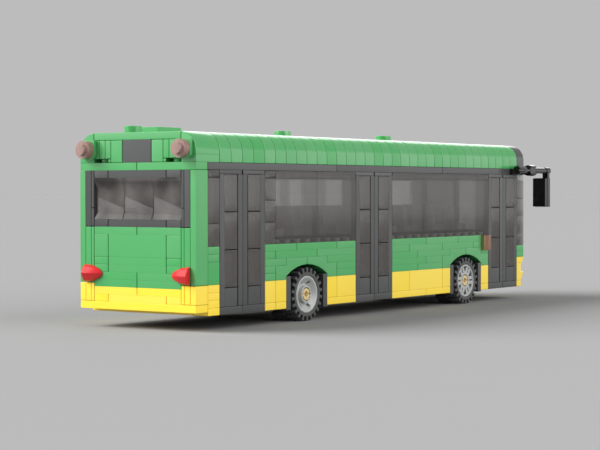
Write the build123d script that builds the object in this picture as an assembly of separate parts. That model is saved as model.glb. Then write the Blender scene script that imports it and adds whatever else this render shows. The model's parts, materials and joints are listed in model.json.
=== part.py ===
from build123d import *
import os
from math import asin, cos, radians, sin

# Grid of the brick system
STUD = 8.0  # pitch of the studs
PLATE = 3.2  # height of a plate, a third of a brick
GAP = 0.2  # moulding clearance between neighbours
WALL = 1.6  # wall of a moulded piece, half a plate
STUD_R = 2.4  # a stud's radius
STUD_H = 1.7  # a stud's height
ROUND_R = 3.9  # radius of a round one-stud piece
ROUND_SIDES = 16  # round pieces are regular prisms, light enough to repeat
SMALL_SIDES = 10  # pins, bars and bores
ROOF_FLATS = 4  # flats in the quarter round of a roof slope
ARCH_FLATS = 4  # flats in half of a wheel arch

# Body along, in studs from the rear face
LENGTH = 36
COLUMN = 1  # the rear corner, the column beside it and the front pillar
DOOR = 4  # two leaves
ARCH_END = 3  # half of an arch's whole length
PLAIN_SHARES = (1, 2, 6)  # plain wall: behind the rear arch, behind the middle door, ahead of it
LAID = 4  # usual length of a brick or a window panel

# Body across, in studs from the middle
HALF_WIDTH = 4
INNER = HALF_WIDTH - 1  # inside of the walls
WELL_SIDE = HALF_WIDTH - 2  # inner side of the wheel wells
SPINE = HALF_WIDTH - 3  # inner side of the axle bricks

# Body upwards, in plates from the underside
SILL, WAIST, WINDOW_TOP = 4, 9, 18
GREEN_COURSES = 5  # courses between the sill and the waist
ROOF_BASE = WINDOW_TOP + 1
ROOF = ROOF_BASE + 1
ROOF_PLATE = ROOF + 3
ROOF_TOP = ROOF_PLATE + 1
FLOOR = SILL + 1
BUMPER_FOOT = 0.5

# Doors on the right side
DOOR_PANES = 3  # glass bricks in the height of a leaf
DOOR_SLIT = 0.5  # dark line beside the meeting bars
DOOR_NOTCH = 0.35  # half of the notch over the meeting bars

# Rear panes
PANE_LIP = 1.7
PANE_BEVEL = 2.9
PANE_SINK = 1.4

# Wheels
TYRE_R = 12.0
TYRE_W = 14.0
TREAD_ROOT_R = 10.1
LUGS = 22
LUG_TIP = 0.42  # width of a lug's tip as a share of the pitch
RIM_R = 8.5
RIM_WALL = 0.9
RIM_SET = 0.2  # how far the rim lies in from the tyre's face
HUB_R = 4.0
HUB_SET = 0.5
WEB = 1.6
DISH_DEPTH = 2.4
SPOKES = 6
SPOKE_SLIT = 0.7  # slit between the two bars of a spoke
SPOKE_BAR = 1.75
DISH_HOLE = 0.7  # half of a hole's side
DISH_HOLE_R = 5.9  # the holes' distance from the axle
DISH_HOLES = (60, 120, 240, 300)  # degrees
PIN_R = 2.4
PIN_HEAD_R = 2.75
PIN_HEAD = 1.0
PIN_BORE_R = 1.3
PIN_SLIT = 0.6
HEAD_FIT = 0.3  # room round the head in the hub
RUN_FIT = 0.05
AXLE_H = 5.6  # height of the axles over the underside
WELL_CLEAR = 1.5  # room over the tyre
ARCH_CLEAR = 0.8  # room before and behind the tyre
ARCH_RISE = 4.7
BAR_DROP = 0.8  # how far the arch bars hang below the underside

# Lamps
RECESS = 1.6  # depth of the side lamp's seat
MARKER_IN = 5.7  # the marker lamps' distance in from the side
MARKER_UP = 1.75  # their height over the roof base's top in plates
BRACKET_CUT = 1.2  # cut corner of the marker lamps' brackets
TAIL_LAMP = 10.2  # length of a tail lamp
TAIL_RIDGE = 3.4  # how far its ridge stands out
TAIL_SECTIONS = ((0, 1), (0.45, 0.86), (0.8, 0.5))  # shares of the length and of the size
TAIL_PROFILE = ((0, -1), (0.55, -0.8), (1, 0), (0.55, 0.8), (0, 1))  # shares of ridge and half height
HEADLAMPS = (1.5, 2.5)  # studs from the middle
HEADLAMP_UP = 3  # plates

# Front ribs
RIB_TOPS = (2.5, 5)  # plates
RIB_H = 1.5

# Mirrors
ARM_R = 1.6
ARM_OUT = 4.0  # the arm's axis lies this far outside the wall
ARM_UP = 0.75  # and this far over the foot of the roof base, in plates
GRIP_WALL = 0.7
COLLAR_R = 3.0
COLLAR_L = 6.0
MIRROR_REACH = 22.8  # front of the mirror ahead of the front face
MIRROR_T = 5.6
MIRROR_GLASS = 2.4  # thickness of the mirror's rear layer
MIRROR_W = 8.0
MIRROR_H = 16.0
MIRROR_DROP = 4.0  # top of the mirror below the arm's axis
KNOB_R = 1.9
NECK_W = 3.2
NECK_T = 2.4

# Seats
SEAT_BACK = 14  # top of the backs in plates
SEAT_CUSHION = 11
SEAT_DEPTH = 2  # studs
SEAT_PITCH = 2.6
SEAT_T = 3.2
SEAT_SLOPE = 2.0
SEAT_FREE = 0.2  # room behind the first seat of a stretch in studs
DRIVER_SEAT = 3.6  # studs behind the pillar

# Steering wheel on the dashboard
STEER_R = 5.0
STEER_BAR = 1.2
STEER_LIFT = 4.5
STEER_TILT = 25

# Roof: lengths of the plates, and round vents by stud along and stud across
BASE_PLATE = 12
TOP_PLATE = 8
FIRST_TOP_PLATE = 3
VENTS = ((1.5, 1.5), (12.5, -0.5), (23.5, -0.5))
HATCH = ((3, 5), (1, 3))

# Frame: origin on the ground under the middle of the whole toy
RIDE = TYRE_R - AXLE_H
MARKER_REACH = WALL + PLATE + STUD_H
X_REAR = (MARKER_REACH - LENGTH * STUD - MIRROR_REACH) / 2
SIDES = (-1, 1)  # right, left
BRICK = 3  # plates in a brick
ARCH = (TYRE_R + ARCH_CLEAR + PLATE) / STUD  # half of an arch's opening in studs
WELL_TOP = RIDE + AXLE_H + TYRE_R + WELL_CLEAR

# Stations in studs: rear column C, doors D and M, rear arch R, front arch F, front pillar
PLAIN = (LENGTH - 3 * COLUMN - 3 * DOOR - 4 * ARCH_END) / sum(PLAIN_SHARES)
C1 = COLUMN
D1 = C1 + COLUMN
D2 = D1 + DOOR
R1 = D2 + PLAIN_SHARES[0] * PLAIN
REAR_AXLE = R1 + ARCH_END
R2, R3, R4 = REAR_AXLE - ARCH, REAR_AXLE + ARCH, REAR_AXLE + ARCH_END
M1 = R4 + PLAIN_SHARES[1] * PLAIN
M2 = M1 + DOOR
F1 = M2 + PLAIN_SHARES[2] * PLAIN
FRONT_AXLE = F1 + ARCH_END
F2, F3, F4 = FRONT_AXLE - ARCH, FRONT_AXLE + ARCH, FRONT_AXLE + ARCH_END
PILLAR = F4 + DOOR

nodes = {}


def add(node, *solids):
    nodes.setdefault(node, []).extend(solids)


def x_at(studs):
    return X_REAR + studs * STUD


def z_at(plates):
    return RIDE + plates * PLATE


def course(number):
    """Top of a green course over the sill, in plates."""
    return SILL + number * (WAIST - SILL) / GREEN_COURSES


def window(thirds):
    """Height in the window band, in plates."""
    return WAIST + thirds * (WINDOW_TOP - WAIST) / 3


def block(x, y, z):
    """Box between three pairs of limits."""
    low = [min(pair) for pair in (x, y, z)]
    size = [max(pair) - min(pair) for pair in (x, y, z)]
    return Pos(*low) * Box(*size, align=(Align.MIN, Align.MIN, Align.MIN))


def inset(pair, amount=GAP / 2):
    return min(pair) + amount, max(pair) - amount


def across(side, inner, outer):
    """Limits in y between two distances from the middle, in studs."""
    return inset((side * inner * STUD, side * outer * STUD))


def wall(side):
    return across(side, INNER, HALF_WIDTH)


def brick(studs, y, plates):
    """Upright brick: limits along in studs, across in mm and up in plates."""
    return block(inset((x_at(studs[0]), x_at(studs[1]))), y, (z_at(plates[0]), z_at(plates[1])))


def laid(start, end, first, step=LAID):
    """Pairs of seams: a first brick, then bricks of one length, and what is left at the end."""
    seams = [start]
    while seams[-1] + first < end - COLUMN / 2:
        seams.append(seams[-1] + first)
        first = step
    return list(zip(seams, [*seams[1:], end]))


def row(studs, seams, plates):
    """Bricks side by side across the bus, with seams in studs from the middle."""
    return [brick(studs, across(1, *pair), plates) for pair in zip(seams, seams[1:])]


def sideways(x, y, z):
    """Piece laid on its side, clear of its neighbours all round."""
    return block(inset(x), inset(y), inset(z))


def along_y(sketch, y):
    """Sketch in (x, z) drawn out between two limits in y."""
    return Pos(0, max(y), 0) * extrude(Plane.XZ * sketch, max(y) - min(y))


def along_x(sketch, x):
    """Sketch in (y, z) drawn out between two limits in x."""
    return Pos(min(x), 0, 0) * extrude(Plane.YZ * sketch, max(x) - min(x))


def outline(*points):
    return make_face(Polyline(*points, close=True))


def disc(radius, sides=ROUND_SIDES):
    """Round face with a flat side at the bottom, sized over its corners."""
    return RegularPolygon(radius, sides, rotation=180 / sides)


def bore(radius, sides=SMALL_SIDES):
    """Round opening sized over its flats, so that a round pin of that radius fits."""
    return RegularPolygon(radius, sides, major_radius=False)


def ring_points(radius, y, sides):
    """Corners of a round outline at one depth, with a flat side at the bottom."""
    turns = [radians(360 * (number + 0.5) / sides) for number in range(sides)]
    return [(radius * cos(turn), y, radius * sin(turn)) for turn in turns]


def skin(*rings):
    """Solid with flat faces between like rings of corners, where a ring of one corner is a tip."""
    faces = [Face(Wire.make_polygon(ring)) for ring in (rings[0], rings[-1]) if len(ring) > 1]
    for near, far in zip(rings, rings[1:]):
        for number in range(len(near)):
            after = (number + 1) % len(near)
            end = [far[after], far[number]] if len(far) > 1 else far
            faces.append(Face(Wire.make_polygon([near[number], near[after], *end])))
    return Solid(Shell(faces))


def glazed(x, y, z, axis, sign, foot=WALL, head=WALL):
    """Glazed piece with an outer wall and walls round it, open inwards, and upwards if it has no head."""
    limits = [sorted(x), sorted(y), sorted(z)]
    top = limits[2][1] - head if head else limits[2][1] + PLATE
    pocket = [inset(x, WALL), inset(y, WALL), (limits[2][0] + foot, top)]
    low, high = limits[axis]
    pocket[axis] = (low - PLATE, high - WALL) if sign > 0 else (low + WALL, high + PLATE)
    return block(*limits) - block(*pocket)


def glass_brick(studs, side, plates):
    """Hollow glazed brick in a side wall."""
    x = inset((x_at(studs[0]), x_at(studs[1])))
    return glazed(x, wall(side), (z_at(plates[0]), z_at(plates[1])), 1, side)


# Courses of the side walls: node, bottom and top in plates, then the runs on the right and on the left,
# each by its start, its end and the length of its first brick in studs
WALL_COURSES = (
    ("sill_plates", 0, 1,
     ((C1, D1, 1), (D2, R2, 1), (R3, M1, 4), (M2, F2, 4), (F3, F4, 1)),
     ((C1, R2, 3), (R3, F2, 4), (F3, PILLAR, 2))),
    ("sill_bricks", 1, SILL,
     ((D2, R2, 1), (R3, M1, 1), (M2, F2, 2), (F3, F4, 1)),
     ((C1, R2, 3), (R3, F2, 1), (F3, PILLAR, 1))),
    ("waist_course_1", SILL, course(1),
     ((D2, R1, 1), (R4, M1, 4), (M2, F1, 3)),
     ((C1, R1, 4), (R4, F1, 4), (F4, PILLAR, 4))),
    ("waist_course_2", course(1), course(2),
     ((D2, R1, 1), (R4, M1, 4), (M2, F1, 4)),
     ((C1, R1, 2), (R4, F1, 2), (F4, PILLAR, 2))),
    ("waist_course_3", course(2), course(3),
     ((D2, R2, 4), (R3, M1, 4), (M2, F2, 3)),
     ((C1, R2, 3), (R3, F2, 4), (F4, PILLAR, 4))),
    ("waist_course_4", course(3), course(4),
     ((C1, D1, 1), (D2, M1, 1), (M2, F3, 2)),
     ((C1, F3, 2), (F4, PILLAR, 2))),
    ("waist_course_5", course(4), WAIST,
     ((C1, D1, 1), (D2, M1, 3), (M2, F3, 4)),
     ((C1, F3, 4), (F4, PILLAR, 4))),
    ("window_top_plates", WINDOW_TOP, ROOF_BASE,
     ((C1, D1, 1), (D2, M1, 1), (M2, F4, 4), (PILLAR, LENGTH, 1)),
     ((C1, PILLAR, 1), (PILLAR, LENGTH, 1))),
)

# Narrow wall behind the rear door: node, bottom and top in plates
NARROW_WALL = (
    ("sill_bricks", 1, 2),
    ("bumper_plates", 2, 3),
    ("sill_bricks", 3, SILL),
    ("waist_course_1", SILL, course(3)),
)

# Stretches of window panels: side, start, end
PANEL_STRETCHES = ((-1, D2 + COLUMN, M1), (-1, M2, F4), (1, D1, PILLAR - COLUMN))

# Bricks of one stud between the panels: node, stud, bottom and top in thirds of the window, sides
WINDOW_BRICKS = (
    ("window_bricks_a", C1, 0, 1, SIDES),
    ("window_bricks_b", C1, 1, 3, SIDES),
    ("window_bricks_a", D2, 0, 1, SIDES[:1]),
    ("window_bricks_b", D2, 1, 2, SIDES[:1]),
    ("window_bricks_a", D2, 2, 3, SIDES[:1]),
    ("window_bricks_a", PILLAR - COLUMN, 0, 1, SIDES[1:]),
    ("window_bricks_b", PILLAR - COLUMN, 1, 3, SIDES[1:]),
    ("window_bricks_a", PILLAR, 0, 1, SIDES),
    ("window_bricks_b", PILLAR, 1, 2, SIDES),
    ("window_bricks_a", PILLAR, 2, 3, SIDES),
)

# Rear wall from the bumper up: node, height in plates, seams in studs from the middle
WHOLE = (-HALF_WIDTH, HALF_WIDTH)
HALVES = (-INNER, 0, INNER)
PARTS = (-INNER, -2, 2, INNER)
REAR_STACK = (
    ("bumper_plates", 1, WHOLE),
    ("sill_bricks", 1, PARTS),
    ("bumper_plates", 1, HALVES),
    ("rear_green_rows_a", 1, HALVES),
    ("rear_green_rows_b", 1, HALVES),
    ("rear_green_rows_a", 1, PARTS),
    ("rear_green_rows_b", 1, PARTS),
    ("rear_green_rows_a", 3, PARTS),
    ("rear_green_rows_b", 1, HALVES),
    ("rear_grey_frame", 1, PARTS),
)
BUMPER_TOP = BUMPER_FOOT + REAR_STACK[0][1]
PANE_FOOT = BUMPER_FOOT + sum(height for node, height, seams in REAR_STACK)
FRAME_FOOT = PANE_FOOT - REAR_STACK[-1][1]
FRAME_JOINT = FRAME_FOOT + 2.5

# Rear wall over the panes: node, bottom and top in plates, seams
REAR_HEAD = (
    ("rear_grey_frame", WINDOW_TOP, ROOF_BASE, PARTS),
    ("rear_green_rows_a", ROOF_BASE, ROOF, (-HALF_WIDTH, 0, HALF_WIDTH)),
    ("rear_grey_frame", ROOF, ROOF_PLATE, (-1, 1)),
)

# Layers of the rear corners: node, outer and inner edge in plates from the side, seams upwards in plates
REAR_CORNERS = (
    ("rear_corner_yellow", 0, 1, (BUMPER_TOP, SILL)),
    ("rear_corner_yellow", 1, 2, (BUMPER_TOP, SILL)),
    ("rear_corner_yellow", 2, 2.5, (BUMPER_TOP, SILL)),
    ("rear_corner_green", 0, 1, (SILL, ROOF_BASE)),
    ("rear_corner_green", 1, 2, (SILL, FRAME_FOOT)),
    ("rear_corner_green", 2, 2.5, (SILL, FRAME_FOOT)),
    ("rear_grey_frame", 1, 2, (FRAME_FOOT, ROOF_BASE)),
    ("rear_grey_frame", 2, 2.5, (FRAME_FOOT, FRAME_JOINT, ROOF_BASE)),
)

# Front rows set back behind the ribs, then the bands over them: node, bottom and top in plates, seams
FRONT_ROWS = (
    ("sill_plates", 0, 1, (-HALF_WIDTH, 0, HALF_WIDTH)),
    ("sill_bricks", 1, SILL, (-HALF_WIDTH, -1, 1, HALF_WIDTH)),
    ("bumper_plates", SILL, course(1), (-HALF_WIDTH, 0, HALF_WIDTH)),
)
FRONT_BANDS = (
    ("waist_course_2", course(1), course(2), (-HALF_WIDTH, 0, HALF_WIDTH)),
    ("waist_course_3", course(2), course(3), (-HALF_WIDTH, -INNER, INNER, HALF_WIDTH)),
)

# Stretches of seats: side, start, end, height of what they stand on
BOX_TOP = WELL_TOP + PLATE
SEAT_STRETCHES = (
    (-1, R1, R4, BOX_TOP),
    (-1, M2, F1, z_at(FLOOR)),
    (-1, F1, F4, BOX_TOP),
    (1, C1, R1, z_at(FLOOR)),
    (1, R1, R4, BOX_TOP),
    (1, R4, F1, z_at(FLOOR)),
    (1, F1, F4, BOX_TOP),
)


def make_walls():
    for node, bottom, top, right, left in WALL_COURSES:
        for side, runs in zip(SIDES, (right, left)):
            for start, end, first in runs:
                add(node, *(brick(pair, wall(side), (bottom, top)) for pair in laid(start, end, first)))
    for node, bottom, top in NARROW_WALL:
        add(node, brick((C1, D1), wall(SIDES[0]), (bottom, top)))
    for side, start, end in PANEL_STRETCHES:
        for pair in laid(start, end, LAID):
            x = inset((x_at(pair[0]), x_at(pair[1])))
            z = (z_at(WAIST), z_at(WINDOW_TOP))
            add("window_panels", glazed(x, wall(side), z, 1, side, foot=PLATE, head=0))
    for node, start, low, high, sides in WINDOW_BRICKS:
        for side in sides:
            add(node, glass_brick((start, start + COLUMN), side, (window(low), window(high))))
    for side in SIDES:
        add("window_bricks_b", glass_brick((PILLAR, LENGTH), side, (course(3), WAIST)))


def half_arch(axle, direction, side):
    """Half of an arch: an end stud two courses high and a crown three courses high."""
    crown_z = WELL_TOP
    spring_z = crown_z - ARCH_RISE
    half_span = ARCH * STUD
    x = [x_at(axle) + direction * amount for amount in (GAP / 2, half_span, ARCH_END * STUD - GAP / 2)]
    radius = (half_span**2 + ARCH_RISE**2) / (2 * ARCH_RISE)
    turns = [asin(half_span / radius) * step / ARCH_FLATS for step in range(1, ARCH_FLATS)]
    arc = [(direction * radius * sin(turn), radius * (cos(turn) - 1)) for turn in turns]
    arc = [(x_at(axle) + along, crown_z + up) for along, up in arc]
    foot, shoulder, top = z_at(SILL), z_at(course(2)), z_at(course(3))
    return along_y(outline(
        (x[0], crown_z), *arc, (x[1], spring_z), (x[1], foot), (x[2], foot), (x[2], shoulder),
        (x[1], shoulder), (x[1], top), (x[0], top)), wall(side))


def make_arches():
    bar_z = (RIDE - BAR_DROP, WELL_TOP - ARCH_RISE - GAP / 2)
    for side in SIDES:
        for axle in (REAR_AXLE, FRONT_AXLE):
            for direction in (-1, 1):
                add("arch_bricks", half_arch(axle, direction, side))
                edge = x_at(axle) + direction * ARCH * STUD
                add("upright_bars", block((edge, edge - direction * PLATE), wall(side), bar_z))
        # Brick with a sunk seat ahead of the front arch, and its lamp tile
        seat_z = (z_at(WAIST) - STUD, z_at(WAIST))
        face = side * HALF_WIDTH * STUD
        back = face - side * (RECESS + GAP / 2)
        lamp_brick = brick((F3, F4), wall(side), (course(2), WAIST))
        add("waist_course_4", lamp_brick - block((x_at(F3), x_at(F4)), (face, back), seat_z))
        lamp_y = (back, face + side * (PLATE - RECESS))
        add("indicators", block(inset((x_at(F3), x_at(F4))), lamp_y, inset(seat_z)))


def make_doors():
    """Leaves built sideways: two bars on edge, a kick panel and glass bricks, and a strip over them."""
    y = wall(SIDES[0])
    foot = z_at(1)
    kick = foot + STUD
    head = z_at(ROOF_BASE) - WALL
    pane_h = (head - kick) / DOOR_PANES
    for door in (D1, M1, F4):
        for meeting, start in ((1, door), (-1, door + DOOR / 2)):
            edges = (start, start + DOOR / 2)
            x0, x1 = inset((x_at(edges[0]), x_at(edges[1])))
            add("chassis_plates", brick(edges, y, (0, 1)))
            for bar in ((x0, x0 + PLATE), (x1 - PLATE, x1)):
                add("upright_bars", block(bar, y, (foot, head)))
            inner = [x0 + PLATE, x1 - PLATE]
            inner[1 if meeting > 0 else 0] -= meeting * DOOR_SLIT
            add("door_kick_panels", block(inner, y, (foot, kick - GAP / 2)))
            for number in range(DOOR_PANES):
                z = inset((kick + number * pane_h, kick + (number + 1) * pane_h))
                add("door_glass", glazed(inner, y, z, 1, SIDES[0]))
            strip = (x0, x1 - DOOR_NOTCH) if meeting > 0 else (x0 + DOOR_NOTCH, x1)
            add("door_kick_panels", block(strip, y, (head, z_at(ROOF_BASE))))


def tail_lamp(side):
    """Pointed lamp with a ridge: like sections that shrink from the outer end to the tip."""
    base_y = side * (HALF_WIDTH * STUD - PLATE)
    mid_z = z_at(SILL) + STUD / 2
    rings = []
    for along, share in TAIL_SECTIONS:
        y = base_y - side * along * TAIL_LAMP
        out, half = share * TAIL_RIDGE, share * STUD / 2
        rings.append([(X_REAR - out * ridge, y, mid_z + half * up) for ridge, up in TAIL_PROFILE])
    return skin(*rings, [(X_REAR, base_y - side * TAIL_LAMP, mid_z)])


def rear_pane(y):
    """Rear window pane: a lip at the top and a sunk face with sloped ends."""
    x = x_at(0) + GAP / 2
    sunk = x + PANE_SINK
    back = x + PLATE
    foot, top = z_at(PANE_FOOT), z_at(WINDOW_TOP)
    return along_y(outline(
        (x, foot), (sunk, foot + PANE_BEVEL), (sunk, top - PANE_LIP - PANE_BEVEL), (x + GAP, top - PANE_LIP),
        (x, top - PANE_LIP), (x, top), (back, top), (back, foot)), y)


def marker_lamp(side):
    """Bracket with cut lower corners and a round lamp with its stud to the rear."""
    centre = Pos(side * (HALF_WIDTH * STUD - MARKER_IN), z_at(ROOF + MARKER_UP))
    half = STUD / 2
    low = half - BRACKET_CUT
    plate = outline((-low, -half), (low, -half), (half, -low), (half, half), (-half, half), (-half, -low))
    face = X_REAR - WALL
    lamp = along_x(centre * disc(ROUND_R), (face, face - PLATE))
    lamp += along_x(centre * Circle(STUD_R), (face - PLATE / 2, X_REAR - MARKER_REACH))
    return along_x(centre * plate, (X_REAR, face)), lamp


def make_rear():
    bottom = BUMPER_FOOT
    for node, height, seams in REAR_STACK:
        add(node, *row((0, C1), seams, (bottom, bottom + height)))
        bottom += height
    for node, low, high, seams in REAR_HEAD:
        add(node, *row((0, C1), seams, (low, high)))
    # Yellow plate under the bumper, set in by a stud
    add("sill_plates", *row((C1, D1), (-INNER, INNER), (0, 1)))
    for pair in zip((-INNER, -1, 1), (-1, 1, INNER)):
        add("window_panels", rear_pane(across(1, *pair)))
    outer = HALF_WIDTH * STUD
    x = (x_at(0), x_at(C1))
    for side in SIDES:
        for node, near, far, seams in REAR_CORNERS:
            y = (side * (outer - near * PLATE), side * (outer - far * PLATE))
            for low, high in zip(seams, seams[1:]):
                add(node, sideways(x, y, (z_at(low), z_at(high))))
        add("tail_lamps", tail_lamp(side))
        # Upper rear: three plates on edge, a brick beside them, the plate under the corner slope
        stack = [INNER * STUD - count * PLATE for count in range(BRICK + 1)]
        for near, far in zip(stack, stack[1:]):
            edge_z = (z_at(ROOF) + WALL, z_at(ROOF_PLATE))
            add("upper_rear_bricks", sideways(x, (side * near, side * far), edge_z))
        add("upper_rear_bricks", sideways(x, (side * STUD, side * stack[-1]), (z_at(ROOF), z_at(ROOF_PLATE))))
        foot_y = (side * stack[-1], side * WELL_SIDE * STUD)
        add("upper_rear_bricks", sideways(x, foot_y, (z_at(ROOF), z_at(ROOF) + WALL)))
        add("upper_rear_bricks", brick((0, D1), wall(side), (ROOF, ROOF + 1)))
        bracket, lamp = marker_lamp(side)
        add("marker_brackets", bracket)
        add("marker_lamps", lamp)


def make_front():
    back = x_at(PILLAR) + GAP / 2
    face = x_at(LENGTH) - PLATE
    for node, bottom, top, seams in FRONT_ROWS:
        for pair in zip(seams, seams[1:]):
            add(node, block((back, face), across(1, *pair), (z_at(bottom), z_at(top))))
    for node, bottom, top, seams in FRONT_BANDS:
        add(node, *row((PILLAR, LENGTH), seams, (bottom, top)))
    for side in SIDES:
        for top in RIB_TOPS:
            z0, z1 = z_at(top - RIB_H), z_at(top)
            add("front_ribs", along_y(outline((face, z0), (face + PLATE, z1), (face, z1)), wall(side)))
        for studs in HEADLAMPS:
            place = Pos(side * studs * STUD, z_at(HEADLAMP_UP))
            add("headlamps", along_x(place * disc(ROUND_R), (face, face + PLATE)))
    for pair in zip((-INNER, -1, 1), (-1, 1, INNER)):
        x = inset((x_at(PILLAR), x_at(LENGTH)))
        z = (z_at(course(3)), z_at(ROOF_BASE))
        add("windscreen", glazed(x, across(1, *pair), z, 0, 1, foot=PLATE, head=0))
    y = across(1, -INNER, INNER)
    z = (z_at(ROOF), z_at(ROOF_PLATE))
    add("roof_risers", block((back, face), y, z))
    add("destination_display", block((face, x_at(LENGTH) - GAP / 2), y, inset(z)))


def slope(side, studs, bottom, width):
    """Curved corner brick: an upright face, then a quarter round up to the flat roof."""
    inner, outer = sorted(wall(side), key=abs)
    radius = abs(outer - inner)
    top = z_at(ROOF_TOP)
    turns = [radians(90 * step / ROOF_FLATS) for step in range(ROOF_FLATS + 1)]
    arc = [(inner + side * radius * cos(turn), top - radius + radius * sin(turn)) for turn in turns]
    x = inset((x_at(studs), x_at(studs + width)))
    return along_x(outline((inner, z_at(bottom)), (outer, z_at(bottom)), *arc), x)


def make_roof():
    whole, inside = across(1, -HALF_WIDTH, HALF_WIDTH), across(1, -INNER, INNER)
    for pair in laid(C1, PILLAR - COLUMN, BASE_PLATE, BASE_PLATE):
        add("roof_base_plates", brick(pair, whole, (ROOF_BASE, ROOF)))
    add("roof_base_plates", brick((PILLAR - COLUMN, PILLAR), inside, (ROOF_BASE, ROOF)))
    add("roof_base_plates", brick((PILLAR, LENGTH), whole, (ROOF_BASE, ROOF)))
    tops = laid(0, PILLAR, FIRST_TOP_PLATE, TOP_PLATE)
    for pair in tops:
        add("roof_top_plates", brick(pair, inside, (ROOF_PLATE, ROOF_TOP)))
    for start, end in tops[1:]:
        add("roof_risers", brick((start - 1, start + 1), across(1, -2, 2), (ROOF, ROOF_PLATE)))
    add("roof_front_bricks", brick((PILLAR, LENGTH), inside, (ROOF_PLATE, ROOF_TOP)))
    count = round((PILLAR - D1) / COLUMN)
    width = (PILLAR - D1) / count
    for side in SIDES:
        add("roof_slopes", slope(side, 0, ROOF + 1, D1))
        first = slope(side, D1, ROOF, width)
        add("roof_slopes", *(Pos(number * width * STUD, 0, 0) * first for number in range(count)))
        add("roof_front_bricks", slope(side, PILLAR, ROOF, COLUMN))
    for along, out in VENTS:
        add("roof_vents", Pos(x_at(along), out * STUD, z_at(ROOF_TOP)) * extrude(disc(ROUND_R), PLATE))
    add("roof_vents", brick(HATCH[0], across(1, *HATCH[1]), (ROOF_TOP, ROOF_TOP + 1)))


def make_chassis():
    inside, well, spine = (across(1, -edge, edge) for edge in (INNER, WELL_SIDE, SPINE))
    for stretch in ((D1, R1), (R4, F1), (F4, PILLAR)):
        for pair in laid(*stretch, BASE_PLATE / 2, BASE_PLATE / 2):
            add("chassis_plates", brick(pair, inside, (0, 1)))
    for stretch in ((C1, R1), (R4, F1), (F4, PILLAR)):
        for pair in laid(*stretch, BASE_PLATE / 2, BASE_PLATE / 2):
            add("floor_plates", brick(pair, inside, (SILL, FLOOR)))
    for stretch in ((R1, R4), (F1, F4)):
        add("chassis_plates", brick(stretch, spine, (0, 1)))
        add("bulkhead_bricks", brick(stretch, well, (BRICK, SILL)))
        add("floor_plates", brick(stretch, well, (SILL, FLOOR)))
        x = inset((x_at(stretch[0]), x_at(stretch[1])))
        add("wheel_boxes", block(x, well, (z_at(FLOOR), WELL_TOP)) + block(x, inside, (WELL_TOP, BOX_TOP)))
    for start in (R1 - COLUMN, R4, F1 - COLUMN, F4):
        add("bulkhead_bricks", brick((start, start + COLUMN), inside, (1, SILL)))


def seat(side, studs, foot):
    """Seat with a leaning back, on a pedestal that widens up to the cushion."""
    x = x_at(studs)
    depth = SEAT_DEPTH * STUD
    cushion, back = z_at(SEAT_CUSHION), z_at(SEAT_BACK)
    side_view = outline(
        (x + SEAT_SLOPE, foot), (x + depth - SEAT_SLOPE, foot), (x + depth, cushion),
        (x + SEAT_SLOPE + SEAT_T, cushion), (x + SEAT_T, back), (x, back), (x + SEAT_SLOPE, cushion))
    return along_y(side_view, inset(across(side, SPINE, INNER), GAP))


def make_seats():
    for side, start, end, foot in SEAT_STRETCHES:
        at = start + SEAT_FREE
        while at + SEAT_DEPTH < end:
            add("seats", seat(side, at, foot))
            at += SEAT_PITCH
    add("seats", seat(SIDES[1], PILLAR - DRIVER_SEAT, z_at(FLOOR)))


def make_cockpit():
    add("dashboard", brick((PILLAR - COLUMN, PILLAR), across(1, -INNER, INNER), (FLOOR, WAIST)))
    ring = disc(STEER_R, SMALL_SIDES) - disc(STEER_R - STEER_BAR, SMALL_SIDES)
    wheel = extrude(ring + Rectangle(2 * STEER_R - STEER_BAR, STEER_BAR), STEER_BAR / 2, both=True)
    column = extrude(disc(STEER_BAR, SMALL_SIDES), STEER_LIFT)
    wheel = Pos(0, 0, STEER_LIFT) * Rot(0, -STEER_TILT, 0) * wheel + column
    add("steering_wheel", Pos(x_at(PILLAR - COLUMN) + STUD / 4, WELL_SIDE * STUD, z_at(WAIST)) * wheel)


def ring_y(radius, y, sides=ROUND_SIDES):
    """Round piece of a wheel between two depths from the tyre's outer face."""
    return along_y(disc(radius, sides), y)


def cone_y(radius, end_radius, y):
    """Round piece with one radius at the first depth and another at the last."""
    return skin(ring_points(radius, y[0], ROUND_SIDES), ring_points(end_radius, y[1], ROUND_SIDES))


def lug_ring(first, y):
    """Half of the tread: a star of lugs with slanted flanks, each as wide at its foot as the gaps."""
    pitch = 360 / LUGS
    foot, tip = 1 / 4, LUG_TIP / 2  # half widths in pitches
    tip_r = TYRE_R / cos(radians(tip * pitch))
    lug = [(-foot, TREAD_ROOT_R), (-tip, tip_r), (tip, tip_r), (foot, TREAD_ROOT_R)]
    points = []
    for number in range(LUGS):
        for turn, radius in lug:
            angle = radians(first + (number + turn) * pitch)
            points.append((radius * cos(angle), radius * sin(angle)))
    return along_y(outline(*points), y)


def tyre():
    """Two rings of lugs set half a pitch apart, round the rim's seat."""
    body = lug_ring(180 / LUGS, (0, TYRE_W / 2)) + lug_ring(0, (TYRE_W / 2, TYRE_W))
    return body - ring_y(RIM_R + RUN_FIT, (0, TYRE_W))


def spoke_openings(inner_r, depth):
    """Slits in the spokes, and openings between them with sides parallel to the spokes."""
    half = radians(180 / SPOKES)
    bar = SPOKE_SLIT / 2 + SPOKE_BAR
    reach = inner_r - RIM_WALL / 2
    tip = bar / sin(half)
    edge = (reach**2 - bar**2) ** 0.5 - tip * cos(half)
    corner = (tip + edge * cos(half), edge * sin(half))
    opening = along_y(outline((tip, 0), corner, (reach, 0), (corner[0], -corner[1])), depth)
    slit = along_y(Pos((HUB_R + inner_r) / 2, 0) * Rectangle(inner_r - HUB_R - RIM_WALL, SPOKE_SLIT), depth)
    for number in range(SPOKES):
        turn = 360 / SPOKES * number
        yield Rot(0, turn, 0) * slit
        yield Rot(0, turn + 180 / SPOKES, 0) * opening


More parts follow.
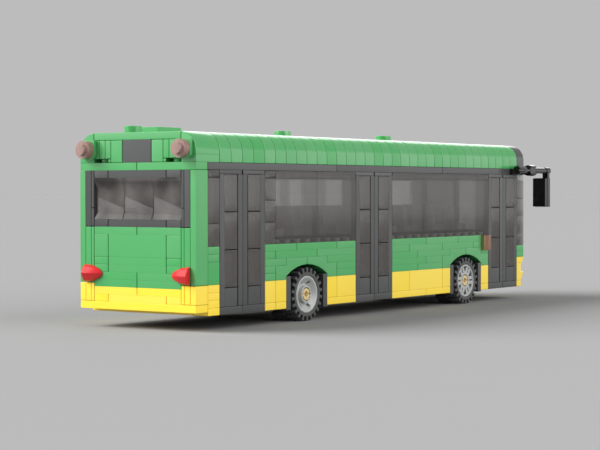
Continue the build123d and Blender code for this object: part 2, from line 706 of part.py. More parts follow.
def dish_openings(depth):
    """Small holes through the dish."""
    hole = along_y(Pos(DISH_HOLE_R, 0) * Rectangle(2 * DISH_HOLE, 2 * DISH_HOLE), depth)
    for turn in DISH_HOLES:
        yield Rot(0, turn, 0) * hole


def rim(spoked):
    """Barrel, web and hub: double spokes near the outer face, or a dish with small holes."""
    inner_r = RIM_R - RIM_WALL
    back = TYRE_W - RIM_SET
    web = HUB_SET if spoked else DISH_DEPTH
    body = ring_y(RIM_R, (RIM_SET, back)) - ring_y(inner_r, (web + WEB, back))
    if spoked:
        body -= ring_y(inner_r, (RIM_SET, web))
        openings = spoke_openings(inner_r, (0, web + WEB))
    else:
        body -= cone_y(inner_r, HUB_R + RIM_WALL, (RIM_SET, web))
        openings = dish_openings((0, web + WEB))
    for opening in openings:
        body -= opening
    body += ring_y(HUB_R, (HUB_SET, back))
    body -= along_y(bore(PIN_HEAD_R + HEAD_FIT), (0, HUB_SET + PIN_HEAD + GAP))
    return body - along_y(bore(PIN_R + RUN_FIT), (0, TYRE_W))


def axle_pin():
    """Pin whose head lies in the hub, with a short bore and a slit across it."""
    head = (HUB_SET, HUB_SET + PIN_HEAD)
    pin = ring_y(PIN_HEAD_R, head, SMALL_SIDES) + ring_y(PIN_R, (head[0], INNER * STUD), SMALL_SIDES)
    pin -= along_y(Rectangle(2 * PIN_HEAD_R, PIN_SLIT), (head[0], head[0] + PIN_HEAD / 2))
    return pin - along_y(bore(PIN_BORE_R), (head[0], head[1] + PIN_HEAD))


def make_wheels():
    shared_tyre = tyre()
    pin = axle_pin()
    for end, axle in (("rear", REAR_AXLE), ("front", FRONT_AXLE)):
        shared_rim = rim(end == "front")
        for hand, side in zip(("right", "left"), SIDES):
            place = Pos(x_at(axle), side * HALF_WIDTH * STUD, TYRE_R) * Rot(0, 0, 0 if side < 0 else 180)
            add(f"tyre_{end}_{hand}", place * shared_tyre)
            add(f"rim_{end}_{hand}", place * shared_rim)
            add("axle_pins", place * pin)
            y = across(side, SPINE, WELL_SIDE)
            carrier = brick((axle - ARCH_END, axle + ARCH_END), y, (0, BRICK))
            add("axle_bricks", carrier - along_y(Pos(x_at(axle), TYRE_R) * bore(PIN_R + RUN_FIT), y))


def make_mirrors():
    """Arm held in a grip, with a collar at the corner and a mirror of two layers hung from its end."""
    axis_z = z_at(ROOF_BASE + ARM_UP)
    front = x_at(LENGTH) + MIRROR_REACH
    rear = front - MIRROR_T
    for hand, side in zip(("right", "left"), SIDES):
        axis_y = side * (HALF_WIDTH * STUD + ARM_OUT)
        centre = Pos(axis_y, axis_z)
        x = inset((x_at(PILLAR - COLUMN), x_at(PILLAR)))
        grip_r = ARM_R + RUN_FIT + GRIP_WALL
        ring = along_x(centre * (bore(grip_r) - bore(ARM_R + RUN_FIT)), x)
        mouth = block(x, (axis_y, axis_y + side * 2 * grip_r), (axis_z - ARM_R / 2, axis_z + ARM_R / 2))
        link_y = (side * HALF_WIDTH * STUD - side * GAP, axis_y - side * (ARM_R + RUN_FIT + GRIP_WALL / 2))
        link = block(x, link_y, (z_at(ROOF_BASE), z_at(ROOF)))
        foot = brick((PILLAR - COLUMN, PILLAR), wall(side), (ROOF_BASE, ROOF))
        add("mirror_grips", foot + link + (ring - mouth))
        arm = along_x(centre * disc(ARM_R, SMALL_SIDES), (x[0] - GAP, rear + ARM_R))
        collar_x = (x_at(LENGTH) - COLLAR_L / 2, x_at(LENGTH) + COLLAR_L / 2)
        arm += along_x(centre * disc(COLLAR_R, SMALL_SIDES), collar_x)
        mouth_y = (axis_y + side * ARM_R, axis_y + side * COLLAR_R)
        arm -= block(collar_x, mouth_y, (axis_z - ARM_R, axis_z + ARM_R))
        arm += along_x(centre * disc(KNOB_R, SMALL_SIDES), (rear - GAP, rear + 2 * KNOB_R))
        neck_x = (rear + GAP, rear + GAP + NECK_T)
        neck_y = (axis_y - NECK_W / 2, axis_y + NECK_W / 2)
        arm += block(neck_x, neck_y, (axis_z - MIRROR_DROP - GAP, axis_z))
        outer_y = axis_y + side * ARM_R / 4
        mirror_y = (outer_y, outer_y - side * MIRROR_W)
        mirror_z = (axis_z - MIRROR_DROP - MIRROR_H, axis_z - MIRROR_DROP)
        glass_x = rear + MIRROR_GLASS
        arm += block((glass_x, front), mirror_y, mirror_z)
        arm += block((rear, glass_x), inset(mirror_y, GAP), inset(mirror_z, GAP))
        add(f"mirror_{hand}", arm)


make_walls()
make_arches()
make_doors()
make_rear()
make_front()
make_roof()
make_chassis()
make_seats()
make_cockpit()
make_wheels()
make_mirrors()

os.makedirs("parts", exist_ok=True)
for name, solids in nodes.items():
    export_step(Compound(solids), f"parts/{name}.step")
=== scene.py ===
import json
from math import pi, radians

import bpy
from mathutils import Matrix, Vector


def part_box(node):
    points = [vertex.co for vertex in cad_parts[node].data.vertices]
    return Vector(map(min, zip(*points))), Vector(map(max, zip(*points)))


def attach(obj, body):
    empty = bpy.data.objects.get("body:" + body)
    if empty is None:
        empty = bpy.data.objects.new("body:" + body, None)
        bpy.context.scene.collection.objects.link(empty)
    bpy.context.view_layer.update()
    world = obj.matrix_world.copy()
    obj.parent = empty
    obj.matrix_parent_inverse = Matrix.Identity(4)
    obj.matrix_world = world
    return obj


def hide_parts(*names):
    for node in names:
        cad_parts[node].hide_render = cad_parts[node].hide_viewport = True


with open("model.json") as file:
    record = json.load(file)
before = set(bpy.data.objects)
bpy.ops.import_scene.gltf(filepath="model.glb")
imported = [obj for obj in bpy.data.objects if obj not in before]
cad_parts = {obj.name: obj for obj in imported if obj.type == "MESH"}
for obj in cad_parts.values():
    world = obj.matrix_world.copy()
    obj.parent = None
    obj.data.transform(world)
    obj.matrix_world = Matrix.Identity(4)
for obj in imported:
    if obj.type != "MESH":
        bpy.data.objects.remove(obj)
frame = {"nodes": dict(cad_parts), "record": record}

bl_info = {
    "name": "Brick-built toy city bus",
    "version": (1, 0, 0),
    "blender": (4, 5, 0),
    "location": "View3D > Sidebar > Toy bus",
    "description": "Dresses the toy bus, adds its studs and hollow undersides and sets the stage",
    "category": "Object",
}

MM = 0.001
NODES = frame["nodes"]
SLOTS = {part["node"]: part["material_slot"] for part in frame["record"]["subparts"]}
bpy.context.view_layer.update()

# Grid of the brick system
STUD = 8 * MM  # pitch of the studs
GAP = 0.1 * MM  # each piece stays this far inside its grid cell
ROUND_SIDES = 24

# Camera fitted to the photo
CAMERA_PLACE = (-700.76 * MM, -469.19 * MM, 57.94 * MM)
CAMERA_TURN = (radians(88.892), radians(0.041), radians(-54.934))
CAMERA_LENS = 102.37  # focal length in millimetres

# Glazing that looks denser than the window panels
DENSE_GLAZING = ("windscreen", "door_glass", "window_bricks_a", "window_bricks_b")

# Ending of the materials' names, and the sizes of their patterns
FINISH = "_finish"
FLOW_MARKS = 30 * MM
RIPPLES = 10 * MM
PLASTIC_WAVE = 0.012 * MM
CLEAR_WAVE = 0.05 * MM
RUBBER_GRAIN = 0.6 * MM  # coarser than on a real tyre, so that it shows
RUBBER_WAVE = 0.03 * MM
WAVE_STRENGTH = 0.4

# Moulded ABS
ABS_IOR = 1.53
FLOW_TONE = 0.9  # darkest tone of the flow marks
BATCH_SATURATION = 0.97  # palest piece
BATCH_LUSTRE = (1.2, 0.6)  # shiniest and dullest piece
ABS_GLOSS_SPREAD = 0.05
SHADED_SHARE = 0.1  # share of the green kept in its painted-shade copy, for the studs behind the tinted plastic
STRAY_LIGHT = 0.06  # grey added to it as painted stray light

# Clear polycarbonate
POLYCARBONATE_IOR = 1.58
RIPPLE_TONE = 0.85  # darkest tone of the ripples
CLEAR_GLOSS_SPREAD = 0.07
# Rear panes: more haze, and a darker, blotchy tone that is painted shade and painted reflections
SOLID_COVER = 0.6  # share of haze in the rear panes
PAINTED_REFLECTION_LIMITS = (0.35, 0.65)  # part of the ripples that makes the blotches of painted reflection on the rear panes
# Darkest and palest tone of the painted shade and painted reflections on the rear panes
PAINTED_REFLECTION_TONES = (0.2, 0.8)

# Rubber
GRAIN_DETAIL = 4
GRAIN_TONE = 0.75  # darkest tone of the grain
RUBBER_ROUGHNESS = (0.45, 0.65)

# Work on the meshes
WELD = 0.01 * MM
EDGE_SEGMENTS = 2
FACING_DOWN = -0.5  # upward part of a normal, below which a face counts as an underside

# Studio suns: name, where from, strength, spread, and whether glossy faces mirror them
SUNS = (
    ("key_sun", (-0.5, 0.65, 0.57), 4.6, radians(45), False),
    ("glare_sun", (-0.5, 0.65, 0.57), 0.8, radians(45), True),
    ("side_sun", (0.1, -0.9, 0.42), 2.0, radians(60), True),
    ("back_sun", (0.82, 0.5, 0.3), 0.45, radians(30), True),
)

# Soft lights that the walls mirror: name, place, width, height, brightness, and if they light matt faces
SOFT_LIGHTS = (
    ("side_light", (2.49, -1.67, 0.4), 4, 0.8, 0.7, True),
    ("rear_light", (-2.43, 1.95, 0.44), 2, 0.6, 1.5, False),
)


def linear(text):
    """Linear colour from an sRGB hex value."""
    shares = [int(text[place:place + 2], 16) / 255 for place in (1, 3, 5)]
    return [((share + 0.055) / 1.055) ** 2.4 if share > 0.04 else share / 12.92 for share in shares]


def colour(name, description, text):
    return bpy.props.FloatVectorProperty(
        name=name, description=description, default=linear(text), subtype="COLOR", min=0, max=1)


def length(name, description, default):
    return bpy.props.FloatProperty(
        name=name, description=description, default=default, unit="LENGTH", precision=5)


class ToyBusColours(bpy.types.PropertyGroup):
    green: colour("Green", "Walls and roof", "#45A55A")
    yellow: colour("Yellow", "Sills, bumper and front", "#FFDE3C")
    dark_grey: colour("Dark grey", "Bars, chassis, window frames and seats", "#464747")
    light_grey: colour("Light grey", "Rims", "#AEB0AE")
    black: colour("Black", "Mirrors, display and steering wheel", "#0C0C0D")
    tan: colour("Tan", "Axle pins", "#DCC48C")
    smoke: colour("Smoke", "Tint of the glazing", "#77716C")
    red: colour("Red", "Tail lamps", "#E01A24")
    dull_red: colour("Dull red", "Marker lamps", "#B8918A")
    orange: colour("Orange", "Indicators", "#C48D68")
    clear: colour("Clear", "Headlamps", "#E4EAEC")
    rubber: colour("Rubber", "Tyres", "#4C4D4D")
    floor: colour("Floor", "Floor of the studio", "#909090")
    room: colour("Room", "Light all round", "#BCBCBC")


class ToyBusSizes(bpy.types.PropertyGroup):
    edge: length("Edge", "Rounding of the pieces' edges", 0.26 * MM)
    edge_angle: bpy.props.FloatProperty(
        name="Edge angle", description="Edges sharper than this are rounded",
        default=radians(30), subtype="ANGLE")
    stud_radius: length("Stud radius", "Radius of a stud", 2.4 * MM)
    stud_height: length("Stud height", "Height of a stud", 1.7 * MM)
    wall: length("Wall", "Wall of a moulded piece", 1.5 * MM)
    top: length("Top", "Thickness of a plate over its hollow", 1.2 * MM)
    tube_radius: length("Tube radius", "Outside of the tubes under a wide plate", 3.25 * MM)
    tube_wall: length("Tube wall", "Wall of those tubes", 0.8 * MM)
    pin_radius: length("Pin radius", "Pins under a narrow plate", 1.6 * MM)
    cover: bpy.props.FloatProperty(
        name="Cover", description="Share of haze in each face of the glazing",
        default=0.2, subtype="FACTOR")
    dense_cover: bpy.props.FloatProperty(
        name="Dense cover", description="The same share in windscreen, doors and small bricks",
        default=0.34, subtype="FACTOR")
    floor_size: length("Floor size", "Side of the square floor", 60)


def add_node(tree, kind, inputs=None, **settings):
    """Adds a shader node, where an input is a value or a socket to link."""
    made = tree.nodes.new(kind)
    for name, value in settings.items():
        setattr(made, name, value)
    for name, value in (inputs or {}).items():
        if isinstance(value, bpy.types.NodeSocket):
            tree.links.new(value, made.inputs[name])
        else:
            made.inputs[name].default_value = value
    return made


def new_material(name):
    """Tree of a new material, empty."""
    material = bpy.data.materials.new(name + FINISH)
    material.use_nodes = True
    material.node_tree.nodes.clear()
    return material.node_tree


def dress(obj, name):
    """Puts on the finish of that name alone."""
    obj.data.materials.clear()
    obj.data.materials.append(bpy.data.materials[name + FINISH])


def plastic(name, base, roughness, shine=0.8):
    """Injection-moulded ABS: glossy, a little different in tone from piece to piece, with a wavy skin."""
    tree = new_material(name)
    place = add_node(tree, "ShaderNodeTexCoord").outputs["Object"]
    flow = add_node(tree, "ShaderNodeTexNoise", {"Vector": place, "Scale": 1 / FLOW_MARKS})
    ripple = add_node(tree, "ShaderNodeTexNoise", {"Vector": place, "Scale": 1 / RIPPLES})
    shade = add_node(tree, "ShaderNodeMapRange", {
        "Value": flow.outputs["Fac"], "To Min": FLOW_TONE, "To Max": 1})
    batch = add_node(tree, "ShaderNodeNewGeometry").outputs["Random Per Island"]
    fade = add_node(tree, "ShaderNodeMapRange", {"Value": batch, "To Min": BATCH_SATURATION, "To Max": 1})
    lustre = add_node(tree, "ShaderNodeMapRange", {
        "Value": batch, "To Min": BATCH_LUSTRE[0] * shine, "To Max": BATCH_LUSTRE[1] * shine})
    tone = add_node(tree, "ShaderNodeHueSaturation", {
        "Color": (*base, 1), "Saturation": fade.outputs["Result"], "Value": shade.outputs["Result"]})
    gloss = add_node(tree, "ShaderNodeMapRange", {
        "Value": ripple.outputs["Fac"],
        "To Min": roughness - ABS_GLOSS_SPREAD, "To Max": roughness + ABS_GLOSS_SPREAD})
    bump = add_node(tree, "ShaderNodeBump", {
        "Height": ripple.outputs["Fac"], "Strength": WAVE_STRENGTH, "Distance": PLASTIC_WAVE})
    shader = add_node(tree, "ShaderNodeBsdfPrincipled", {
        "Base Color": tone.outputs["Color"], "Roughness": gloss.outputs["Result"], "IOR": ABS_IOR,
        "Specular IOR Level": lustre.outputs["Result"], "Normal": bump.outputs["Normal"]})
    add_node(tree, "ShaderNodeOutputMaterial", {"Surface": shader.outputs["BSDF"]})


def clear_plastic(
        name, base, cover, density, skin=0.05, roughness=0.05, end_cover=1, solid_and_painted_behind=None):
    """Tinted polycarbonate: darker the thicker it is, hazy but for its ends, with wavy reflections; panes
    behind a given x get more haze and a darker, blotchy tone of painted shade and painted reflections.
    """
    tree = new_material(name)
    place = add_node(tree, "ShaderNodeTexCoord").outputs["Object"]
    ripple = add_node(tree, "ShaderNodeTexNoise", {"Vector": place, "Scale": 1 / RIPPLES}).outputs["Fac"]
    facing = add_node(tree, "ShaderNodeSeparateXYZ", {
        "Vector": add_node(tree, "ShaderNodeNewGeometry").outputs["Normal"]})
    ends = add_node(tree, "ShaderNodeMath", {0: facing.outputs["X"]}, operation="ABSOLUTE").outputs[0]
    shade = add_node(tree, "ShaderNodeMapRange", {
        "Value": ripple, "To Min": RIPPLE_TONE, "To Max": 1}).outputs["Result"]
    veil = add_node(tree, "ShaderNodeMapRange", {
        "Value": ends, "To Min": cover, "To Max": cover * end_cover}).outputs["Result"]
    mirror = add_node(tree, "ShaderNodeMapRange", {
        "Value": ends, "To Min": skin, "To Max": skin * end_cover})
    # Rear panes: more haze, and painted shade with blotches of painted reflection
    if solid_and_painted_behind is not None:
        along = add_node(tree, "ShaderNodeSeparateXYZ", {"Vector": place}).outputs["X"]
        solid = add_node(
            tree, "ShaderNodeMath", {0: along, 1: solid_and_painted_behind}, operation="LESS_THAN").outputs[0]
        # Painted reflection: blotches cut from the ripples
        painted_reflection = add_node(tree, "ShaderNodeMapRange", {
            "Value": ripple, "From Min": PAINTED_REFLECTION_LIMITS[0], "From Max": PAINTED_REFLECTION_LIMITS[1],
            "To Min": PAINTED_REFLECTION_TONES[0], "To Max": PAINTED_REFLECTION_TONES[1]})
        shade = add_node(tree, "ShaderNodeMapRange", {
            "Value": solid, "To Min": shade, "To Max": painted_reflection.outputs["Result"]}).outputs["Result"]
        veil = add_node(tree, "ShaderNodeMapRange", {
            "Value": solid, "To Min": veil, "To Max": SOLID_COVER}).outputs["Result"]
    tone = add_node(tree, "ShaderNodeHueSaturation", {"Color": (*base, 1), "Value": shade})
    gloss = add_node(tree, "ShaderNodeMapRange", {
        "Value": ripple, "To Min": roughness, "To Max": roughness + CLEAR_GLOSS_SPREAD}).outputs["Result"]
    bump = add_node(tree, "ShaderNodeBump", {
        "Height": ripple, "Strength": WAVE_STRENGTH, "Distance": CLEAR_WAVE}).outputs["Normal"]
    haze = add_node(tree, "ShaderNodeBsdfPrincipled", {
        "Base Color": tone.outputs["Color"], "Roughness": gloss, "IOR": POLYCARBONATE_IOR,
        "Alpha": veil, "Normal": bump})
    shine = add_node(tree, "ShaderNodeBsdfGlossy", {"Roughness": gloss, "Normal": bump})
    face = add_node(tree, "ShaderNodeMixShader", {
        0: mirror.outputs["Result"], 1: haze.outputs["BSDF"], 2: shine.outputs["BSDF"]})
    depth = add_node(tree, "ShaderNodeVolumeAbsorption", {"Color": (*base, 1), "Density": density})
    add_node(tree, "ShaderNodeOutputMaterial", {
        "Surface": face.outputs["Shader"], "Volume": depth.outputs["Volume"]})


def rubber(name, base):
    """Moulded rubber: matt, with a fine grain that takes the edge off its highlights."""
    tree = new_material(name)
    place = add_node(tree, "ShaderNodeTexCoord").outputs["Object"]
    grain = add_node(tree, "ShaderNodeTexNoise", {
        "Vector": place, "Scale": 1 / RUBBER_GRAIN, "Detail": GRAIN_DETAIL}).outputs["Fac"]
    shade = add_node(tree, "ShaderNodeMapRange", {"Value": grain, "To Min": GRAIN_TONE, "To Max": 1})
    tone = add_node(tree, "ShaderNodeHueSaturation", {"Color": (*base, 1), "Value": shade.outputs["Result"]})
    matt = add_node(tree, "ShaderNodeMapRange", {
        "Value": grain, "To Min": RUBBER_ROUGHNESS[0], "To Max": RUBBER_ROUGHNESS[1]})
    bump = add_node(tree, "ShaderNodeBump", {
        "Height": grain, "Strength": WAVE_STRENGTH, "Distance": RUBBER_WAVE})
    shader = add_node(tree, "ShaderNodeBsdfPrincipled", {
        "Base Color": tone.outputs["Color"], "Roughness": matt.outputs["Result"],
        "Normal": bump.outputs["Normal"]})
    add_node(tree, "ShaderNodeOutputMaterial", {"Surface": shader.outputs["BSDF"]})


def make_materials(colours, sizes):
    """One material for each slot of the record, and a darker, greyer copy of the green as painted shade for
    the studs behind tinted plastic.
    """
    # Injection-moulded ABS
    # Painted shade: a darker, greyer copy of the green for the studs seen through the glazing
    shaded_green = [SHADED_SHARE * value + STRAY_LIGHT for value in colours.green]
    plastic("green_abs", colours.green, roughness=0.2)
    plastic("yellow_abs", colours.yellow, roughness=0.2, shine=0.6)
    plastic("dark_grey_abs", colours.dark_grey, roughness=0.25, shine=0.6)
    plastic("light_grey_abs", colours.light_grey, roughness=0.22)
    plastic("black_abs", colours.black, roughness=0.18)
    plastic("tan_abs", colours.tan, roughness=0.2)
    plastic("green_abs_in_shade", shaded_green, roughness=0.3)
    # Clear polycarbonate in its tints
    rear_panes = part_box("window_panels")[0].x + STUD / 2
    # The rear panes get painted shade and painted reflections
    clear_plastic(
        "tinted_glazing", colours.smoke, sizes.cover, density=150, skin=0.07, end_cover=0.3,
        solid_and_painted_behind=rear_panes)
    clear_plastic("dense_glazing", colours.smoke, sizes.dense_cover, density=400, skin=0.07)
    clear_plastic("red_lens", colours.red, cover=0.85, density=300, skin=0.01, roughness=0.25)
    clear_plastic("marker_lens", colours.dull_red, cover=0.65, density=60, skin=0.02, roughness=0.2)
    clear_plastic("orange_lens", colours.orange, cover=0.4, density=60, skin=0.03, roughness=0.1)
    clear_plastic("clear_lens", colours.clear, cover=0.25, density=20)
    # Soft rubber
    rubber("tyre_rubber", colours.rubber)


def solids(node):
    """Lower and upper corner of the box round each separate solid of a CAD node."""
    mesh = NODES[node].data
    spots = [tuple(round(value / MM, 3) for value in vertex.co) for vertex in mesh.vertices]
    leader = {spot: spot for spot in spots}

    def lead(spot):
        while leader[spot] != spot:
            spot = leader[spot]
        return spot

    for polygon in mesh.polygons:
        first = lead(spots[polygon.vertices[0]])
        for number in polygon.vertices[1:]:
            leader[lead(spots[number])] = first
    groups = {}
    for spot in leader:
        groups.setdefault(lead(spot), []).append(spot)
    return [[Vector(map(pick, zip(*points))) * MM for pick in (min, max)] for points in groups.values()]


def only(obj):
    """Selects one object and makes it active."""
    bpy.ops.object.select_all(action="DESELECT")
    obj.select_set(True)
    bpy.context.view_layer.objects.active = obj


def settle(obj):
    """Applies the modifiers and puts the object's place into its mesh."""
    only(obj)
    for name in obj.modifiers.keys():
        bpy.ops.object.modifier_apply(modifier=name)
    bpy.ops.object.transform_apply(location=True, rotation=True, scale=True)


def repeat(obj, count, step):
    """Repeats an object along one step."""
    array = obj.modifiers.new("row", "ARRAY")
    array.count = count
    array.use_relative_offset = False
    array.use_constant_offset = True
    array.constant_offset_displace = step


def round_bar(radius, middle, height, turn=(0, 0, 0)):
    """Upright round bar about its middle, or one across the bus when it is turned."""
    bpy.ops.object.select_all(action="DESELECT")
    bpy.ops.mesh.primitive_cylinder_add(
        vertices=ROUND_SIDES, radius=radius, depth=height, location=middle, rotation=turn)
    bar = bpy.context.object
    settle(bar)
    return bar


def soften(obj, sizes):
    """Merges loose triangles, rounds the edges and smooths the shading."""
    only(obj)
    bpy.ops.object.shade_smooth()
    weld = obj.modifiers.new("weld", "WELD")
    weld.merge_threshold = WELD
    bevel = obj.modifiers.new("edge", "BEVEL")
    bevel.width = sizes.edge
    bevel.segments = EDGE_SEGMENTS
    bevel.limit_method = "ANGLE"
    bevel.angle_limit = sizes.edge_angle
    obj.modifiers.new("normals", "WEIGHTED_NORMAL")


def finish_piece(name, pieces, material, sizes, replaced=()):
    """Joins pieces into one object on the bus and dresses it."""
    if not pieces:
        raise RuntimeError(f"nothing to make {name} from")
    only(pieces[0])
    for piece in pieces:
        piece.select_set(True)
    bpy.ops.object.join()
    made = bpy.context.view_layer.objects.active
    made.name = made.data.name = name
    dress(made, material)
    soften(made, sizes)
    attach(made, "bus")
    if replaced:
        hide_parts(*replaced)


def cells(low, high):
    """Studs in a box along x and along y."""
    return [round((far - near + 2 * GAP) / STUD) for near, far in zip(low.xy, high.xy)]


def stud_row(low, high, sizes):
    """Studs of the piece below, inside the foot of a box."""
    height = sizes.stud_height
    first = (low.x - GAP + STUD / 2, (low.y + high.y) / 2, low.z + height / 2)
    row = round_bar(sizes.stud_radius, first, height)
    repeat(row, cells(low, high)[0], (STUD, 0, 0))
    settle(row)
    return row


def hollow_plate(low, high, sizes):
    """Plate with an open underside."""
    bpy.ops.object.select_all(action="DESELECT")
    bpy.ops.mesh.primitive_cube_add(size=1, location=(low + high) / 2, scale=high - low)
    plate = bpy.context.object
    settle(plate)
    for part in (plate.data.vertices, plate.data.edges, plate.data.polygons):
        part.foreach_set("select", [False] * len(part))
    for polygon in plate.data.polygons:
        polygon.select = polygon.normal.z < FACING_DOWN
    bpy.ops.object.mode_set(mode="EDIT")
    bpy.ops.mesh.select_mode(type="FACE")
    bpy.ops.mesh.inset(thickness=sizes.wall)
    depth = high.z - low.z - sizes.top
    bpy.ops.mesh.extrude_region_move(TRANSFORM_OT_translate={"value": (0, 0, depth)})
    bpy.ops.object.mode_set(mode="OBJECT")
    return plate


def grips(low, high, sizes):
    """Tubes between the cells of a wide plate, or pins along a narrow one."""
    across = [count - 1 for count in cells(low, high)]
    height = high.z - low.z - sizes.top
    if max(across) < 1:
        return []
    wide = min(across) > 0
    first = Vector((low.x, low.y, low.z + height / 2))
    for axis, count in enumerate(across):
        first[axis] += STUD - GAP if count else (high[axis] - low[axis]) / 2
    bar = round_bar(sizes.tube_radius if wide else sizes.pin_radius, first, height)
    if wide:
        bore = round_bar(sizes.tube_radius - sizes.tube_wall, first, 2 * height)
        cut = bar.modifiers.new("bore", "BOOLEAN")
        cut.object = bore
        settle(bar)
        bpy.data.objects.remove(bore)
    repeat(bar, max(across[0], 1), (STUD, 0, 0))
    repeat(bar, max(across[1], 1), (0, STUD, 0))
    settle(bar)
    return [bar]


class OBJECT_OT_toy_bus_dress(bpy.types.Operator):
    """Gives every part of the frame its material and its rounded edges."""
    bl_idname = "object.toy_bus_dress"
    bl_label = "Dress the parts"

    def execute(self, context):
        sizes = context.scene.toy_bus_sizes
        make_materials(context.scene.toy_bus_colours, sizes)
        for name, obj in NODES.items():
            dress(obj, "dense_glazing" if name in DENSE_GLAZING else SLOTS[name])
            soften(obj, sizes)
        return {"FINISHED"}


class OBJECT_OT_toy_bus_window_studs(bpy.types.Operator):
    """Adds the studs that show through the feet of the glazing."""
    bl_idname = "object.toy_bus_window_studs"
    bl_label = "Studs in the windows"

    def execute(self, context):
        sizes = context.scene.toy_bus_sizes
        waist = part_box("waist_course_5")[1].z
        green, smoke = [], []
        for node in ("window_panels", "window_bricks_a", "window_bricks_b", "window_top_plates"):
            for low, high in solids(node):
                if high.x - low.x > STUD / 2:
                    rows = green if abs(low.z - waist) < GAP else smoke
                    rows.append(stud_row(low, high, sizes))
        finish_piece("waist_studs", green, "green_abs_in_shade", sizes)
        finish_piece("window_studs", smoke, "tinted_glazing", sizes)
        return {"FINISHED"}


class OBJECT_OT_toy_bus_rear_studs(bpy.types.Operator):
    """Adds the studs in the gaps under the upper rear plates."""
    bl_idname = "object.toy_bus_rear_studs"
    bl_label = "Studs in the rear gaps"

    def execute(self, context):
        sizes = context.scene.toy_bus_sizes
        low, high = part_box("rear_green_rows_a")
        outer = 2.5 * STUD  # from the middle of the bus to the stud in each gap
        first = (low.x + STUD / 2 - GAP, -outer, high.z + sizes.stud_height / 2)
        row = round_bar(sizes.stud_radius, first, sizes.stud_height)
        repeat(row, 2, (0, 2 * outer, 0))
        settle(row)
        finish_piece("rear_gap_studs", [row], "green_abs", sizes)
        return {"FINISHED"}


class OBJECT_OT_toy_bus_door_studs(bpy.types.Operator):
    """Adds the pair of studs behind each pane of the doors."""
    bl_idname = "object.toy_bus_door_studs"
    bl_label = "Studs in the doors"

    def execute(self, context):
        sizes = context.scene.toy_bus_sizes
        rows = []
        for low, high in solids("door_glass"):
            middle = (low + high) / 2
            first = (middle.x, low.y + sizes.wall + sizes.stud_height / 2, middle.z - STUD / 2)
            row = round_bar(sizes.stud_radius, first, sizes.stud_height, (radians(90), 0, 0))
            repeat(row, 2, (0, 0, STUD))
            settle(row)
            rows.append(row)
        finish_piece("door_studs", rows, "tinted_glazing", sizes)
        return {"FINISHED"}


class OBJECT_OT_toy_bus_undersides(bpy.types.Operator):
    """Makes the lowest plates hollow, with the tubes and pins that grip studs."""
    bl_idname = "object.toy_bus_undersides"
    bl_label = "Hollow undersides"

    def execute(self, context):
        sizes = context.scene.toy_bus_sizes
        for node in ("chassis_plates", "sill_plates"):
            pieces = []
            for low, high in solids(node):
                pieces.append(hollow_plate(low, high, sizes))
                pieces.extend(grips(low, high, sizes))
            finish_piece(f"hollow_{node}", pieces, SLOTS[node], sizes, (node,))
        return {"FINISHED"}


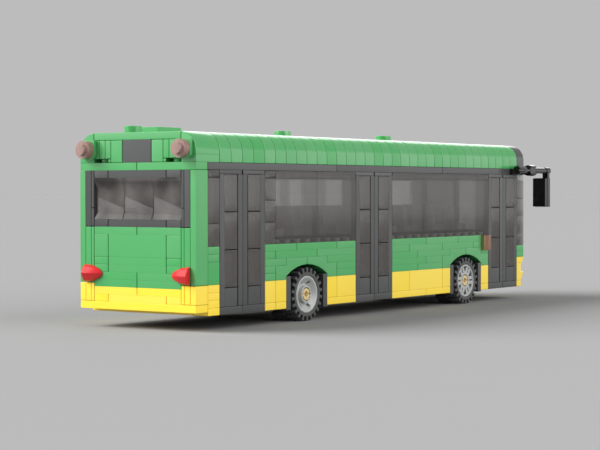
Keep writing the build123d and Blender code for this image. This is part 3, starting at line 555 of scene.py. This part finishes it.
class OBJECT_OT_toy_bus_stage(bpy.types.Operator):
    """Sets the floor, the light all round, the suns, the soft lights and the camera."""
    bl_idname = "object.toy_bus_stage"
    bl_label = "Stage"

    def execute(self, context):
        colours = context.scene.toy_bus_colours
        bpy.ops.object.select_all(action="DESELECT")
        bpy.ops.mesh.primitive_plane_add(size=context.scene.toy_bus_sizes.floor_size)
        floor = context.object
        floor.name = "floor"
        tree = new_material("floor_paint")
        paint = add_node(tree, "ShaderNodeBsdfDiffuse", {"Color": (*colours.floor, 1)})
        add_node(tree, "ShaderNodeOutputMaterial", {"Surface": paint.outputs["BSDF"]})
        dress(floor, "floor_paint")
        world = bpy.data.worlds.new("room")
        world.use_nodes = True
        tree = world.node_tree
        tree.nodes.clear()
        room = add_node(tree, "ShaderNodeBackground", {"Color": (*colours.room, 1)})
        add_node(tree, "ShaderNodeOutputWorld", {"Surface": room.outputs["Background"]})
        context.scene.world = world
        for name, source, strength, spread, glare in SUNS:
            bpy.ops.object.light_add(type="SUN", location=source)
            sun = context.object
            sun.name = name
            sun.data.energy = strength
            sun.data.angle = spread
            sun.visible_glossy = glare
            sun.rotation_euler = Vector(source).to_track_quat("Z", "Y").to_euler()
        for name, place, width, height, brightness, on_matt in SOFT_LIGHTS:
            bpy.ops.object.light_add(type="AREA", location=place)
            light = context.object
            light.name = name
            light.data.shape = "RECTANGLE"
            light.data.size = width
            light.data.size_y = height
            light.data.energy = brightness * pi * width * height
            light.visible_diffuse = on_matt
            light.rotation_euler = Vector((place[0], place[1], 0)).to_track_quat("Z", "Y").to_euler()
        bpy.ops.object.camera_add(location=CAMERA_PLACE, rotation=CAMERA_TURN)
        camera = context.object
        camera.data.lens = CAMERA_LENS
        camera.data.sensor_fit = "HORIZONTAL"
        context.scene.camera = camera
        context.scene.view_settings.view_transform = "Standard"
        return {"FINISHED"}


class VIEW3D_PT_toy_bus(bpy.types.Panel):
    """Lists the settings and the steps that build the toy bus."""
    bl_label = "Toy bus"
    bl_idname = "VIEW3D_PT_toy_bus"
    bl_space_type = "VIEW_3D"
    bl_region_type = "UI"
    bl_category = "Toy bus"

    def draw(self, context):
        for group in (context.scene.toy_bus_colours, context.scene.toy_bus_sizes):
            for name in group.__annotations__:
                self.layout.prop(group, name)
        for operator in OPERATORS:
            self.layout.operator(operator.bl_idname)


OPERATORS = (
    OBJECT_OT_toy_bus_dress,
    OBJECT_OT_toy_bus_window_studs,
    OBJECT_OT_toy_bus_rear_studs,
    OBJECT_OT_toy_bus_door_studs,
    OBJECT_OT_toy_bus_undersides,
    OBJECT_OT_toy_bus_stage,
)
CLASSES = (ToyBusColours, ToyBusSizes, *OPERATORS, VIEW3D_PT_toy_bus)


def register():
    for made in CLASSES:
        bpy.utils.register_class(made)
    bpy.types.Scene.toy_bus_colours = bpy.props.PointerProperty(type=ToyBusColours)
    bpy.types.Scene.toy_bus_sizes = bpy.props.PointerProperty(type=ToyBusSizes)


def unregister():
    del bpy.types.Scene.toy_bus_sizes
    del bpy.types.Scene.toy_bus_colours
    for made in reversed(CLASSES):
        bpy.utils.unregister_class(made)


def main():
    register()
    bpy.ops.object.toy_bus_dress()
    bpy.ops.object.toy_bus_window_studs()
    bpy.ops.object.toy_bus_rear_studs()
    bpy.ops.object.toy_bus_door_studs()
    bpy.ops.object.toy_bus_undersides()
    bpy.ops.object.toy_bus_stage()
    bpy.context.view_layer.update()


if __name__ == "__main__":
    main()
